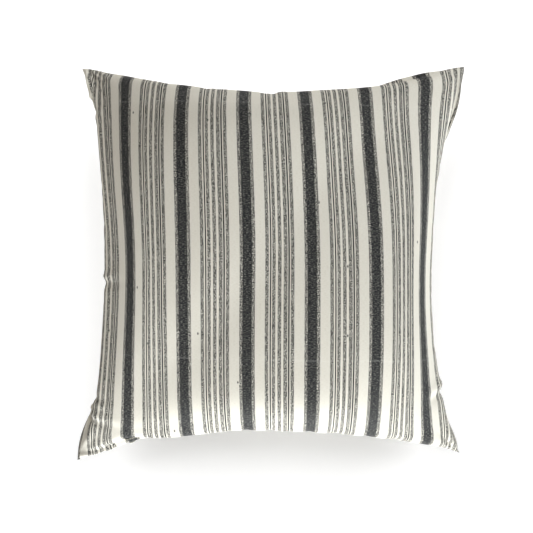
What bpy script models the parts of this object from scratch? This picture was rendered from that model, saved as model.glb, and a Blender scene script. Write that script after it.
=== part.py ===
"""Square throw pillow: a zipped woven cover over a filled insert, lying flat on its back.

Units are metres. X runs along the width, Y towards the top edge and Z out of the front face.
The origin is under the middle of the pillow, on the surface it lies on.
"""

import math

import bmesh
import bpy
from mathutils import Matrix, Vector

# The stuffed cover, tip of ear to tip of ear, and how far the middle of each side pulls in
COVER_WIDTH = 0.498
COVER_HEIGHT = 0.508
PULL_LEFT = 0.040
PULL_RIGHT = 0.050
PULL_TOP = 0.045
PULL_BOTTOM = 0.046

# How far each face swells above the seam, and how much of the back is pressed flat
FRONT_LOFT = 0.068
BACK_LOFT = 0.068
BACK_PRESSED = 0.008
CROWN_POWER = 0.46

# Cover fabric and its seam
COVER_FABRIC = 0.0008
SEAM_THREAD = 0.0008
SEAM_CLEARANCE = 0.0005
SEAM_COLLAR = 0.0020
SEAM_THREAD_INSET = 0.0005
EAR_GAP = 0.0060

# Insert: smaller than the cover by its seam allowance, filled as tight as the cover lets it
INSERT_MARGIN = 0.014
INSERT_FABRIC = 0.0004
FILL_MARGIN = 0.004
LAYER_CLEARANCE = 0.0008

# Concealed coil zip along the middle of the bottom seam
ZIP_LENGTH = 0.380
COIL_THICK = 0.0014
COIL_GAP = 0.0003
TAPE_WIDTH = 0.0085
TAPE_THICK = 0.0004
ZIP_THREAD = 0.0006
ZIP_THREAD_HEIGHT = 0.0062
TACK_LENGTH = 0.0030
ZIP_CLEARANCE = 0.0003

# Slider: a saddle over the chain, with a wire bail that comes out through the seam
SLIDER_LENGTH = 0.0090
SLIDER_PLATE = 0.0008
SLIDER_PLAY = 0.00055
SLIDER_LIP = 0.0007
BAIL_WIRE = 0.0010
BAIL_INNER_WIDTH = 0.0040
BAIL_REACH = 0.0021

# Pull tab: a rolled knuckle round the bail, and a flat tab that hangs from it
KNUCKLE_WALL = 0.0007
KNUCKLE_CLEARANCE = 0.0002
TAB_LENGTH = 0.0230
TAB_WIDTH = 0.0066
TAB_THICK = 0.0010
TAB_HOLE = 0.0028
TAB_NECK = 0.0018
JOIN_OVERLAP = 0.0004

# Sewn-in tags, blank
TAG_WIDTH = 0.030
TAG_THICK = 0.0003
TAG_CLEARANCE = 0.0020
CARE_TAG_SHARE = -0.55
INSERT_TAG_SHARE = -0.40

GRID_STEPS = 16
ZIP_STEPS = 20
THREAD_SIDES = 2
ROUND_STEPS = 24

HALF_WIDTH = COVER_WIDTH / 2
HALF_HEIGHT = COVER_HEIGHT / 2
SEAM_HALF_GAP = SEAM_THREAD / 2 + SEAM_CLEARANCE
RIM = SEAM_HALF_GAP + SEAM_COLLAR
SEAM_Z = RIM + BACK_LOFT - BACK_PRESSED


def clear_scene():
    for obj in list(bpy.data.objects):
        bpy.data.objects.remove(obj, do_unlink=True)


def make_collection(name):
    collection = bpy.data.collections.new(name)
    bpy.context.scene.collection.children.link(collection)
    return collection


def material(name, color, roughness, metallic=0.0):
    mat = bpy.data.materials.new(name)
    mat.use_nodes = True
    shader = mat.node_tree.nodes["Principled BSDF"]
    shader.inputs["Base Color"].default_value = (*color, 1.0)
    shader.inputs["Roughness"].default_value = roughness
    shader.inputs["Metallic"].default_value = metallic
    mat.diffuse_color = (*color, 1.0)
    return mat


def add_mesh(name, mesh, mat, collection):
    obj = bpy.data.objects.new(name, mesh)
    collection.objects.link(obj)
    if mat:
        mesh.materials.append(mat)
    return obj


def solidify(obj, thickness, offset=-1.0):
    mod = obj.modifiers.new("wall", "SOLIDIFY")
    mod.thickness = thickness
    mod.offset = offset
    mod.use_even_offset = True
    mod.use_quality_normals = True
    return mod


# ---------------------------------------------------------------- outline and crown


def arc_radius(pull, half_chord):
    return (half_chord**2 + pull**2) / (2 * pull)


def arc_sag(pull, half_chord, share):
    """How far a side has pulled in at a share (-1 to 1) of its half chord: a circular arc."""
    radius = arc_radius(pull, half_chord)
    return math.sqrt(radius**2 - (share * half_chord) ** 2) - (radius - pull)


def outline_point(u, v):
    left = -HALF_WIDTH + arc_sag(PULL_LEFT, HALF_HEIGHT, v)
    right = HALF_WIDTH - arc_sag(PULL_RIGHT, HALF_HEIGHT, v)
    bottom = -HALF_HEIGHT + arc_sag(PULL_BOTTOM, HALF_WIDTH, u)
    top = HALF_HEIGHT - arc_sag(PULL_TOP, HALF_WIDTH, u)
    x = left + (right - left) * (u + 1) / 2
    y = bottom + (top - bottom) * (v + 1) / 2
    return Vector((x, y))


def crown(u, v):
    """Height of the swelling, 1 in the middle and 0 at the seam."""
    return (max(0.0, 1 - u * u) * max(0.0, 1 - v * v)) ** CROWN_POWER


def grid_share(linear):
    """Grid lines crowd towards the seam, where the fabric turns most."""
    return math.sin(math.pi / 2 * linear)


def grid_dome(bm, margin, loft, side, flat=None):
    """One swollen face on a grid, with a collar that comes down square to the seam."""
    made = bmesh.ops.create_grid(bm, x_segments=GRID_STEPS, y_segments=GRID_STEPS, size=1.0)
    verts = made["verts"]
    scale_x = (HALF_WIDTH - margin) / HALF_WIDTH
    scale_y = (HALF_HEIGHT - margin) / HALF_HEIGHT
    for vert in verts:
        u = grid_share(vert.co.x)
        v = grid_share(vert.co.y)
        flat_point = outline_point(u, v)
        height = RIM + loft * crown(u, v)
        if flat is not None:
            height = min(height, flat)
        vert.co = Vector((flat_point.x * scale_x, flat_point.y * scale_y, SEAM_Z + side * height))
    faces = {face for vert in verts for face in vert.link_faces}
    if side < 0:
        bmesh.ops.reverse_faces(bm, faces=list(faces))
    rim = list({edge for face in faces for edge in face.edges if edge.is_boundary})
    collar = bmesh.ops.extrude_edge_only(bm, edges=rim)["geom"]
    for item in collar:
        if isinstance(item, bmesh.types.BMVert):
            item.co.z = SEAM_Z + side * SEAM_HALF_GAP
    return [item for item in collar if isinstance(item, bmesh.types.BMEdge) and item.is_boundary]


def dome_mesh(name, margin, loft, side, flat=None):
    bm = bmesh.new()
    grid_dome(bm, margin, loft, side, flat)
    bmesh.ops.recalc_face_normals(bm, faces=bm.faces)
    if sum(face.normal.z * face.calc_area() for face in bm.faces) * side < 0:
        bmesh.ops.reverse_faces(bm, faces=bm.faces)
    mesh = bpy.data.meshes.new(name)
    bm.to_mesh(mesh)
    bm.free()
    mesh.shade_smooth()
    return mesh


def panel(name, margin, loft, side, thickness, mat, collection, flat=None):
    obj = add_mesh(name, dome_mesh(name, margin, loft, side, flat), mat, collection)
    solidify(obj, thickness)
    return obj


def fill_body(name, margin, front_loft, back_loft, flat, mat, collection):
    """The filling: both faces, joined by a narrow wall along the seam."""
    bm = bmesh.new()
    upper = grid_dome(bm, margin, front_loft, 1)
    lower = grid_dome(bm, margin, back_loft, -1, flat)
    bmesh.ops.bridge_loops(bm, edges=upper + lower)
    bmesh.ops.recalc_face_normals(bm, faces=bm.faces)
    mesh = bpy.data.meshes.new(name)
    bm.to_mesh(mesh)
    bm.free()
    mesh.shade_smooth()
    return add_mesh(name, mesh, mat, collection)


# ---------------------------------------------------------------- threads and strips


def thread(name, points, diameter, mat, collection):
    curve = bpy.data.curves.new(name, "CURVE")
    curve.dimensions = "3D"
    curve.bevel_depth = diameter / 2
    curve.bevel_resolution = THREAD_SIDES
    curve.use_fill_caps = True
    spline = curve.splines.new("POLY")
    spline.points.add(len(points) - 1)
    for point, place in zip(spline.points, points):
        point.co = (*place, 1.0)
    curve.materials.append(mat)
    obj = bpy.data.objects.new(name, curve)
    collection.objects.link(obj)
    return obj


def side_point(side, share, inset, scale_x, scale_y):
    """A point of one side of the seam, a little inside it. share runs -1 to 1 along the side."""
    step = 0.001
    place = {
        "left": lambda s: outline_point(-1, s),
        "right": lambda s: outline_point(1, s),
        "bottom": lambda s: outline_point(s, -1),
        "top": lambda s: outline_point(s, 1),
    }[side]
    along = (place(share + step) - place(share - step)).normalized()
    inward = Vector((-along.y, along.x))
    if side in ("left", "top"):
        inward = -inward
    point = place(share)
    return Vector((point.x * scale_x + inward.x * inset, point.y * scale_y + inward.y * inset, SEAM_Z))


def seam_shares(first, last):
    """Grid lines between two ends of a seam, so a thread bends where the panels bend."""
    lines = [grid_share(-1 + 2 * i / GRID_STEPS) for i in range(GRID_STEPS + 1)]
    inner = [line for line in lines if first + 0.004 < line < last - 0.004]
    return [first] + inner + [last]


def seam_thread(name, side, first, last, margin, mat, collection):
    scale_x = (HALF_WIDTH - margin) / HALF_WIDTH
    scale_y = (HALF_HEIGHT - margin) / HALF_HEIGHT
    points = [
        side_point(side, share, SEAM_THREAD_INSET, scale_x, scale_y)
        for share in seam_shares(first, last)
    ]
    return thread(name, points, SEAM_THREAD, mat, collection)


# ---------------------------------------------------------------- zip, set out on the bottom arc

BOTTOM_RADIUS = arc_radius(PULL_BOTTOM, HALF_WIDTH)
BOTTOM_CENTRE = Vector((0.0, -HALF_HEIGHT + PULL_BOTTOM - BOTTOM_RADIUS, SEAM_Z))
ZIP_HALF_ANGLE = ZIP_LENGTH / 2 / BOTTOM_RADIUS
PLATE_DEPTH = COVER_FABRIC + ZIP_CLEARANCE
COIL_DEPTH = PLATE_DEPTH + SLIDER_PLATE + ZIP_CLEARANCE + COIL_THICK / 2
TAPE_DEPTH = COIL_DEPTH + COIL_THICK / 2 + ZIP_CLEARANCE
COIL_HEIGHT = COIL_GAP / 2 + COIL_THICK / 2
SLIDER_HALF_ANGLE = (SLIDER_LENGTH / 2 + ZIP_CLEARANCE) / BOTTOM_RADIUS
REST_ANGLE = -ZIP_HALF_ANGLE + SLIDER_HALF_ANGLE
SLIDER_HALF_WIDTH = COIL_HEIGHT + COIL_THICK / 2 + SLIDER_PLAY + SLIDER_LIP
BAIL_DEPTH = -BAIL_REACH


def zip_point(angle, depth, height):
    """A point beside the bottom seam: angle along the arc, depth inside it, height above it."""
    radius = BOTTOM_RADIUS + depth
    offset = Vector((radius * math.sin(angle), radius * math.cos(angle), height))
    return BOTTOM_CENTRE + offset


def zip_angles():
    return [ZIP_HALF_ANGLE * (-1 + 2 * i / ZIP_STEPS) for i in range(ZIP_STEPS + 1)]


def zip_coil(name, side, mat, collection):
    """One half of the closed chain, as a round rail of the coil's outer size."""
    points = [zip_point(angle, COIL_DEPTH, side * COIL_HEIGHT) for angle in zip_angles()]
    return thread(name, points, COIL_THICK, mat, collection)


def wall_depth(u, height):
    """How far inside the seam the panel's inner face is at a height, on the grid's lowest facets."""
    row = grid_share(-1 + 2 / GRID_STEPS)
    run = (outline_point(u, 1).y - outline_point(u, -1).y) * (row + 1) / 2
    slope = run / (min(FRONT_LOFT, BACK_LOFT) * crown(u, row))
    return slope * max(0.0, height - RIM) + COVER_FABRIC * math.sqrt(1 + slope**2)


def tape_depth(angle, height):
    """The tape stands behind the coil, and leans in towards the ears with the panel it is sewn to."""
    u = min(1.0, BOTTOM_RADIUS * abs(math.sin(angle)) / HALF_WIDTH)
    top = COIL_GAP / 2 + TAPE_WIDTH
    behind_wall = wall_depth(u, top) + ZIP_THREAD + 2 * ZIP_CLEARANCE
    lean = max(0.0, behind_wall - TAPE_DEPTH)
    return TAPE_DEPTH + lean * (height - COIL_GAP / 2) / TAPE_WIDTH


def zip_stitches(name, side, mat, collection):
    back = ZIP_CLEARANCE + ZIP_THREAD / 2
    points = [
        zip_point(angle, tape_depth(angle, ZIP_THREAD_HEIGHT) - back, side * ZIP_THREAD_HEIGHT)
        for angle in zip_angles()
    ]
    return thread(name, points, ZIP_THREAD, mat, collection)


def zip_tape(name, side, mat, collection):
    bm = bmesh.new()
    made = bmesh.ops.create_grid(bm, x_segments=ZIP_STEPS, y_segments=1, size=1.0)
    for vert in made["verts"]:
        height = COIL_GAP / 2 + TAPE_WIDTH * (vert.co.y + 1) / 2
        angle = vert.co.x * ZIP_HALF_ANGLE
        vert.co = zip_point(angle, tape_depth(angle, height), side * height)
    bmesh.ops.recalc_face_normals(bm, faces=bm.faces)
    towards_middle = sum(face.normal.y for face in bm.faces)
    if towards_middle > 0:
        bmesh.ops.reverse_faces(bm, faces=bm.faces)
    mesh = bpy.data.meshes.new(name)
    bm.to_mesh(mesh)
    bm.free()
    obj = add_mesh(name, mesh, mat, collection)
    solidify(obj, TAPE_THICK)
    return obj


def box_mesh(name, low, high):
    bm = bmesh.new()
    bmesh.ops.create_cube(bm, size=1.0)
    low = Vector(low)
    high = Vector(high)
    for vert in bm.verts:
        share = vert.co + Vector((0.5, 0.5, 0.5))
        vert.co = Vector(low[i] + (high[i] - low[i]) * share[i] for i in range(3))
    mesh = bpy.data.meshes.new(name)
    bm.to_mesh(mesh)
    bm.free()
    return mesh


def rod_mesh(name, radius, low, high, axis, centre):
    """A round bar along X or Y, from low to high on that axis, through centre on the others."""
    bm = bmesh.new()
    bmesh.ops.create_cone(
        bm, cap_ends=True, segments=ROUND_STEPS, radius1=radius, radius2=radius, depth=high - low
    )
    turn = Matrix.Rotation(math.pi / 2, 4, "Y") if axis == "X" else Matrix.Rotation(-math.pi / 2, 4, "X")
    middle = Vector(centre)
    middle["XY".index(axis)] = (low + high) / 2
    bmesh.ops.transform(bm, matrix=Matrix.Translation(middle) @ turn, verts=bm.verts)
    mesh = bpy.data.meshes.new(name)
    bm.to_mesh(mesh)
    bm.free()
    return mesh


def boolean(obj, name, mesh, operation, parent, cutters):
    tool = add_mesh(name, mesh, None, cutters)
    tool.hide_render = True
    tool.display_type = "WIRE"
    tool.parent = parent
    tool.location = obj.location
    mod = obj.modifiers.new(name, "BOOLEAN")
    mod.operation = operation
    mod.solver = "EXACT"
    mod.object = tool


def axis_empty(name, matrix, parent, collection):
    empty = bpy.data.objects.new(name, None)
    empty.empty_display_size = 0.01
    collection.objects.link(empty)
    empty.parent = parent
    empty.matrix_local = matrix
    return empty


def zip_slider(pivot, mat, collection, cutters):
    """The saddle in its own axes: X along the seam, Y into the cover, Z up, seam line at 0."""
    half = SLIDER_LENGTH / 2
    plate_back = PLATE_DEPTH + SLIDER_PLATE
    lip_back = COIL_DEPTH + COIL_THICK / 2
    wide = SLIDER_HALF_WIDTH
    body = box_mesh("zip_slider", (-half, PLATE_DEPTH, -wide), (half, plate_back, wide))
    obj = add_mesh("zip_slider", body, mat, collection)
    obj.parent = pivot
    obj.location = (0, BOTTOM_RADIUS, 0)
    for name, low, high in (("lip_upper", wide - SLIDER_LIP, wide), ("lip_lower", -wide, SLIDER_LIP - wide)):
        lip = box_mesh(name, (-half, plate_back - JOIN_OVERLAP, low), (half, lip_back, high))
        boolean(obj, name, lip, "UNION", pivot, cutters)
    wire = BAIL_WIRE / 2
    leg_at = BAIL_INNER_WIDTH / 2 + wire
    for name, x in (("leg_near", -leg_at), ("leg_far", leg_at)):
        low = (x - wire, BAIL_DEPTH - wire, -wire)
        high = (x + wire, PLATE_DEPTH + JOIN_OVERLAP, wire)
        leg = box_mesh(name, low, high)
        boolean(obj, name, leg, "UNION", pivot, cutters)
    bar = rod_mesh("bail_bar", wire, -leg_at, leg_at, "X", (0, BAIL_DEPTH, 0))
    boolean(obj, "bail_bar", bar, "UNION", pivot, cutters)
    return obj


def zip_pull(hinge, mat, collection, cutters):
    """The tab in the bail's own axes: X along the bail, hanging down -Z, knuckle at 0."""
    bore = BAIL_WIRE / 2 + KNUCKLE_CLEARANCE
    outer = bore + KNUCKLE_WALL
    half = BAIL_INNER_WIDTH / 2 - ZIP_CLEARANCE
    knuckle = rod_mesh("zip_pull", outer, -half, half, "X", (0, 0, 0))
    obj = add_mesh("zip_pull", knuckle, mat, collection)
    obj.parent = hinge
    face_out = JOIN_OVERLAP / 4 - outer
    face_in = face_out + TAB_THICK
    shoulder = -outer - TAB_NECK
    neck = box_mesh("tab_neck", (-half, face_out, shoulder - JOIN_OVERLAP), (half, face_in, -JOIN_OVERLAP))
    boolean(obj, "tab_neck", neck, "UNION", hinge, cutters)
    wide = TAB_WIDTH / 2
    end = -(TAB_LENGTH - wide)
    blade = box_mesh("tab_blade", (-wide, face_out, end), (wide, face_in, shoulder))
    boolean(obj, "tab_blade", blade, "UNION", hinge, cutters)
    tip = rod_mesh("tab_tip", wide, face_out, face_in, "Y", (0, 0, end))
    boolean(obj, "tab_tip", tip, "UNION", hinge, cutters)
    hole = rod_mesh("tab_hole", TAB_HOLE / 2, face_out - outer, face_in + outer, "Y", (0, 0, end))
    boolean(obj, "tab_hole", hole, "DIFFERENCE", hinge, cutters)
    bore_mesh = rod_mesh("knuckle_bore", bore, -BAIL_INNER_WIDTH, BAIL_INNER_WIDTH, "X", (0, 0, 0))
    boolean(obj, "knuckle_bore", bore_mesh, "DIFFERENCE", hinge, cutters)
    return obj


def zip_tack(name, side, mat, collection):
    """A dense bar of stitches across the chain, which stops the slider."""
    half = TACK_LENGTH / 2
    height = COIL_HEIGHT + COIL_THICK
    depth = COIL_THICK / 2
    mesh = box_mesh(name, (-half, COIL_DEPTH - depth, -height), (half, COIL_DEPTH + depth, height))
    angle = side * (ZIP_HALF_ANGLE + (half + ZIP_CLEARANCE) / BOTTOM_RADIUS)
    obj = add_mesh(name, mesh, mat, collection)
    turn = Matrix.Rotation(-angle, 4, "Z")
    obj.matrix_world = Matrix.Translation(BOTTOM_CENTRE) @ turn @ Matrix.Translation((0, BOTTOM_RADIUS, 0))
    return obj


# ---------------------------------------------------------------- tags


def seam_gap_beside_insert(pull):
    """Width of the gap between the cover's seam and the insert's, at the middle of a side."""
    return (HALF_WIDTH - pull) * INSERT_MARGIN / HALF_WIDTH


def side_tag(name, side, share, margin, first, depth, mat, collection):
    """A blank ribbon tag that stands out of a side seam, in the plane of the seam."""
    scale_x = (HALF_WIDTH - margin) / HALF_WIDTH
    scale_y = (HALF_HEIGHT - margin) / HALF_HEIGHT
    here = side_point(side, share, 0.0, scale_x, scale_y)
    ahead = side_point(side, share, 0.001, scale_x, scale_y)
    inward = (ahead - here).normalized()
    turn = Matrix.Rotation(math.atan2(inward.y, inward.x), 4, "Z")
    low = (first, -TAG_WIDTH / 2, -TAG_THICK / 2)
    high = (first + depth, TAG_WIDTH / 2, TAG_THICK / 2)
    obj = add_mesh(name, box_mesh(name, low, high), mat, collection)
    obj.matrix_world = Matrix.Translation(here) @ turn
    return obj


# ---------------------------------------------------------------- the pillow


def cover(mats, parts):
    panel("front_panel", 0.0, FRONT_LOFT, 1, COVER_FABRIC, mats["cover"], parts)
    panel("back_panel", 0.0, BACK_LOFT, -1, COVER_FABRIC, mats["cover"], parts, flat=SEAM_Z)
    end_x = 1 - EAR_GAP / HALF_WIDTH
    end_y = 1 - EAR_GAP / HALF_HEIGHT
    for side in ("left", "right"):
        seam_thread(f"seam_thread_{side}", side, -end_y, end_y, 0.0, mats["thread"], parts)
    seam_thread("seam_thread_top", "top", -end_x, end_x, 0.0, mats["thread"], parts)
    past_zip = ZIP_LENGTH / 2 + TACK_LENGTH + 4 * ZIP_CLEARANCE
    near = past_zip / HALF_WIDTH
    seam_thread("seam_thread_bottom_left", "bottom", -end_x, -near, 0.0, mats["thread"], parts)
    seam_thread("seam_thread_bottom_right", "bottom", near, end_x, 0.0, mats["thread"], parts)
    first = SEAM_THREAD_INSET + SEAM_THREAD / 2 + SEAM_CLEARANCE
    depth = seam_gap_beside_insert(PULL_LEFT) - first - TAG_CLEARANCE
    side_tag("care_tag", "left", CARE_TAG_SHARE, 0.0, first, depth, mats["tag"], parts)


def insert(mats, parts):
    gap = COVER_FABRIC + LAYER_CLEARANCE
    front = FRONT_LOFT - gap
    back = BACK_LOFT - gap
    panel("insert_front_casing", INSERT_MARGIN, front, 1, INSERT_FABRIC, mats["casing"], parts)
    panel(
        "insert_back_casing", INSERT_MARGIN, back, -1, INSERT_FABRIC, mats["casing"], parts, flat=SEAM_Z - gap
    )
    inner = INSERT_FABRIC + LAYER_CLEARANCE
    fill_body(
        "insert_fill", INSERT_MARGIN + FILL_MARGIN, front - inner, back - inner,
        SEAM_Z - gap - inner, mats["fill"], parts,
    )
    end = 1 - EAR_GAP / HALF_WIDTH
    for side in ("left", "right", "top"):
        seam_thread(f"insert_thread_{side}", side, -end, end, INSERT_MARGIN, mats["thread"], parts)
    seam_thread("insert_closing_thread", "bottom", -end, end, INSERT_MARGIN, mats["thread"], parts)
    depth = seam_gap_beside_insert(PULL_RIGHT) - SEAM_CLEARANCE - TAG_CLEARANCE
    first = -depth - SEAM_CLEARANCE
    side_tag("insert_tag", "right", INSERT_TAG_SHARE, INSERT_MARGIN, first, depth, mats["tag"], parts)


def zip_parts(mats, parts, cutters):
    for name, side in (("upper", 1), ("lower", -1)):
        zip_coil(f"zip_coil_{name}", side, mats["coil"], parts)
        zip_tape(f"zip_tape_{name}", side, mats["tape"], parts)
        zip_stitches(f"zip_thread_{name}", side, mats["thread"], parts)
    zip_tack("zip_tack_left", -1, mats["thread"], parts)
    zip_tack("zip_tack_right", 1, mats["thread"], parts)
    pivot_matrix = Matrix.Translation(BOTTOM_CENTRE) @ Matrix.Rotation(-REST_ANGLE, 4, "Z")
    pivot = axis_empty("zip_travel_axis", pivot_matrix, None, parts)
    zip_slider(pivot, mats["metal"], parts, cutters)
    bail = Matrix.Translation((0, BOTTOM_RADIUS + BAIL_DEPTH, 0))
    hinge = axis_empty("zip_pull_axis", bail, pivot, parts)
    zip_pull(hinge, mats["metal"], parts, cutters)


def make_materials():
    return {
        "cover": material("cover_fabric", (0.62, 0.59, 0.52), 0.9),
        "casing": material("insert_casing_fabric", (0.82, 0.81, 0.78), 0.85),
        "fill": material("fibre_fill", (0.90, 0.90, 0.88), 0.95),
        "thread": material("sewing_thread", (0.70, 0.67, 0.60), 0.7),
        "tape": material("zip_tape_fabric", (0.66, 0.63, 0.56), 0.85),
        "coil": material("zip_coil_nylon", (0.72, 0.69, 0.62), 0.45),
        "metal": material("zip_metal", (0.70, 0.70, 0.68), 0.35, 1.0),
        "tag": material("tag_ribbon", (0.88, 0.87, 0.84), 0.7),
    }


def main():
    clear_scene()
    parts = make_collection("throw_pillow")
    cutters = make_collection("cutters")
    mats = make_materials()
    cover(mats, parts)
    insert(mats, parts)
    zip_parts(mats, parts, cutters)


main()
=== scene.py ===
"""Looks of a square throw pillow: a yarn-dyed striped cover, its seams, its hidden zip and its insert."""

import math
from contextlib import contextmanager

import bmesh
import bpy
import numpy as np
from mathutils import Matrix, Vector


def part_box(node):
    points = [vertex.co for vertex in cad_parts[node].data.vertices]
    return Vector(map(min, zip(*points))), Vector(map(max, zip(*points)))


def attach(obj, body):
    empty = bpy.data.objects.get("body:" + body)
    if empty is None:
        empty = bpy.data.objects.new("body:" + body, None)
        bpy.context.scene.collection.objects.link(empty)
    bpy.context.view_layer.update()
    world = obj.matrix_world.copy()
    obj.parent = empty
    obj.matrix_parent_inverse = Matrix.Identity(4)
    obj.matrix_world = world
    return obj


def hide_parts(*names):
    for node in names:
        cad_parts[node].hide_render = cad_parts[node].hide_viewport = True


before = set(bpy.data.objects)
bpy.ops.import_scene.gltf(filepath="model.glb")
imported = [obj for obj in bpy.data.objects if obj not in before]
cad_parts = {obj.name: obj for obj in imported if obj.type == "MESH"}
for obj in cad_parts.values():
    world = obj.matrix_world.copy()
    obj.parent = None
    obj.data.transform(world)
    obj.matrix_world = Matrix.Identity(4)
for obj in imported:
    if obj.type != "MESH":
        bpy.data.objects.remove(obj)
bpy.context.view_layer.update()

MM = 0.001
PANEL_LOW, PANEL_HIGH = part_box("front_panel")
HALF_WIDTH = (PANEL_HIGH.x - PANEL_LOW.x) / 2
HALF_HEIGHT = (PANEL_HIGH.y - PANEL_LOW.y) / 2
SEAM_Z = sum(corner.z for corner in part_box("seam_thread_left")) / 2
LOFT = PANEL_HIGH.z - SEAM_Z
SIDES = ("left", "right", "top", "bottom")

# ---------------------------------------------------------------- cover sizes

CUT = 508 * MM
FABRIC = 0.6 * MM
SEAM_LIFT = 0.9 * MM
CROWN = LOFT - SEAM_LIFT - MM
EAR_HALF_WIDTH, EAR_HALF_HEIGHT = 249.0 * MM, 252.5 * MM
EAR_SKEW = 3.1 * MM
ZIP_PULL_IN = 46 * MM

# How far each side pulls in at its middle, and the fullness and power of its curve below and above the middle
SIDE_CURVES = {
    "left": (46 * MM, (3.2, 2.6), (1.45, 1.1)),
    "right": (64 * MM, (1.05, 1.0), (1.0, 1.82)),
    "top": (48 * MM, (1.0, 1.5), (1.0, 1.7)),
}
LEVEL_FROM = 0.75

# Where a side of the seam leaves that curve: side, share along it, half width as a share, depth inwards
SIDE_TUCKS = [
    ("left", -0.10, 0.030, 2.4 * MM),
    ("right", 0.30, 0.20, -6.0 * MM),
    ("right", -0.62, 0.045, 2.2 * MM),
    ("top", 0.005, 0.045, 7.0 * MM),
    ("top", -0.28, 0.12, -3.0 * MM),
    ("top", 0.27, 0.13, 5.0 * MM),
]
SCALLOP = {"left": 0.55 * MM, "right": 0.85 * MM, "top": 0.65 * MM, "bottom": 0.30 * MM}

# Folds: side, share along it, slant, how far in it runs, half width, height of the ridge beside its valley
FRONT_FOLDS = [
    ("left", -0.095, 0.10, 60 * MM, 4.5 * MM, 4.6 * MM),
    ("left", -0.74, -0.35, 70 * MM, 5.0 * MM, 4.4 * MM),
    ("left", -0.66, -0.25, 56 * MM, 4.0 * MM, -3.2 * MM),
    ("left", 0.66, 0.9, 52 * MM, 5.0 * MM, -2.4 * MM),
    ("left", 0.82, 1.0, 46 * MM, 4.0 * MM, 2.6 * MM),
    ("right", -0.60, -0.35, 70 * MM, 6.0 * MM, 6.0 * MM),
    ("right", -0.40, 0.1, 44 * MM, 5.0 * MM, 1.6 * MM),
    ("right", 0.20, 0.0, 40 * MM, 5.0 * MM, 1.3 * MM),
    ("right", 0.46, 0.1, 36 * MM, 5.0 * MM, -1.2 * MM),
    ("top", 0.005, 0.1, 46 * MM, 6.0 * MM, 3.6 * MM),
    ("bottom", -0.86, 0.5, 30 * MM, 4.0 * MM, 1.6 * MM),
]
BACK_FOLDS = [
    ("left", 0.30, 0.2, 22 * MM, 5.0 * MM, 1.6 * MM),
    ("right", 0.10, -0.2, 24 * MM, 5.0 * MM, 1.8 * MM),
    ("right", -0.66, -0.6, 30 * MM, 5.0 * MM, 2.2 * MM),
    ("left", -0.72, -0.5, 30 * MM, 5.0 * MM, 2.0 * MM),
    ("top", -0.30, 0.2, 20 * MM, 5.0 * MM, 1.2 * MM),
]

# Cloth: cells across a sheet, frames, and the air that blows it up
CLOTH_CELLS = 96
CLOTH_FRAMES = 46
DRAW_IN_FRAMES = 15
AIR_PRESSURE = 24.0
START_DOME, START_RUMPLE = 12 * MM, 0.08
CLOTH_SETTINGS = {
    "vertex_group_mass": "seam", "quality": 8, "mass": 0.3, "tension_stiffness": 40,
    "compression_stiffness": 40, "shear_stiffness": 10, "bending_stiffness": 1.5, "tension_damping": 5,
    "compression_damping": 5, "shear_damping": 5, "bending_damping": 0.5, "air_damping": 1,
    "use_pressure": True, "uniform_pressure_force": AIR_PRESSURE,
}

# Creases ease away over a distance in from the seam, by so many cells in plan and in height
EASED_FROM, EASED_OVER = 6 * MM, 34 * MM
RELAX_PLAN, RELAX_HEIGHT = 7.0, 4.0
SKIN_STEPS = 196

# Where the back lies: how gently it curves up from flat, and how far it stays off the floor
PRESS_EASE, FLOOR_GAP = 3.5 * MM, 0.05 * MM

# The stripes drift sideways below this height, flare at the top right and are gathered along the top
DRIFT_BELOW = 0.95
STRIPE_DRIFT = 7.6 * MM
STRIPE_FLARE = 16 * MM
TOP_GATHER = 0.03

# Where a face's walls lean: place on the cut panel, reach along x and y, lean along x and y
FRONT_LEANS = [
    (-206 * MM, -5 * MM, 52 * MM, 125 * MM, 10 * MM, 0.0),
    (206 * MM, -55 * MM, 46 * MM, 115 * MM, -7 * MM, 0.0),
    (-70 * MM, -206 * MM, 85 * MM, 46 * MM, 0.0, 8 * MM),
    (-185 * MM, -240 * MM, 34 * MM, 26 * MM, 0.0, 8 * MM),
]
BACK_LEANS = [(-185 * MM, -236 * MM, 46 * MM, 36 * MM, 0.0, 12 * MM)]
PUCKER = 0.45 * MM
PUCKER_REACH = 11 * MM


# ---------------------------------------------------------------- outline


def arc_sag(pull, half_chord, share):
    """How far a circular arc has pulled in at a share (-1 to 1) of its half chord."""
    radius = (half_chord**2 + pull**2) / (2 * pull)
    return np.sqrt(radius**2 - (share * half_chord) ** 2) - (radius - pull)


def levelled(rise):
    """The rise itself while it is low, then ever closer to 1."""
    rest = 1 - LEVEL_FROM
    return np.where(rise < LEVEL_FROM, rise, 1 - rest * np.exp(-(rise - LEVEL_FROM) / rest))


def full_curve(share, fullness, power):
    """A side's curve, 1 in the middle: flat-bottomed where fullness is over 1, hollow at the ears."""
    rise = fullness * np.clip(1 - share**2, 0, 1) ** power
    return levelled(rise) / levelled(fullness)


def waver(share, seed, waves=9):
    """A smooth wander along a seam, about -1 to 1, that dies away at both ears."""
    rng = np.random.default_rng(seed)
    total = np.zeros_like(share)
    for _ in range(waves):
        pitch = rng.uniform(7, 46)
        total += rng.uniform(0.3, 1.0) * np.sin(pitch * share + rng.uniform(0, 2 * np.pi))
    return total / 2.4 * np.clip(1 - share**4, 0, 1)


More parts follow.
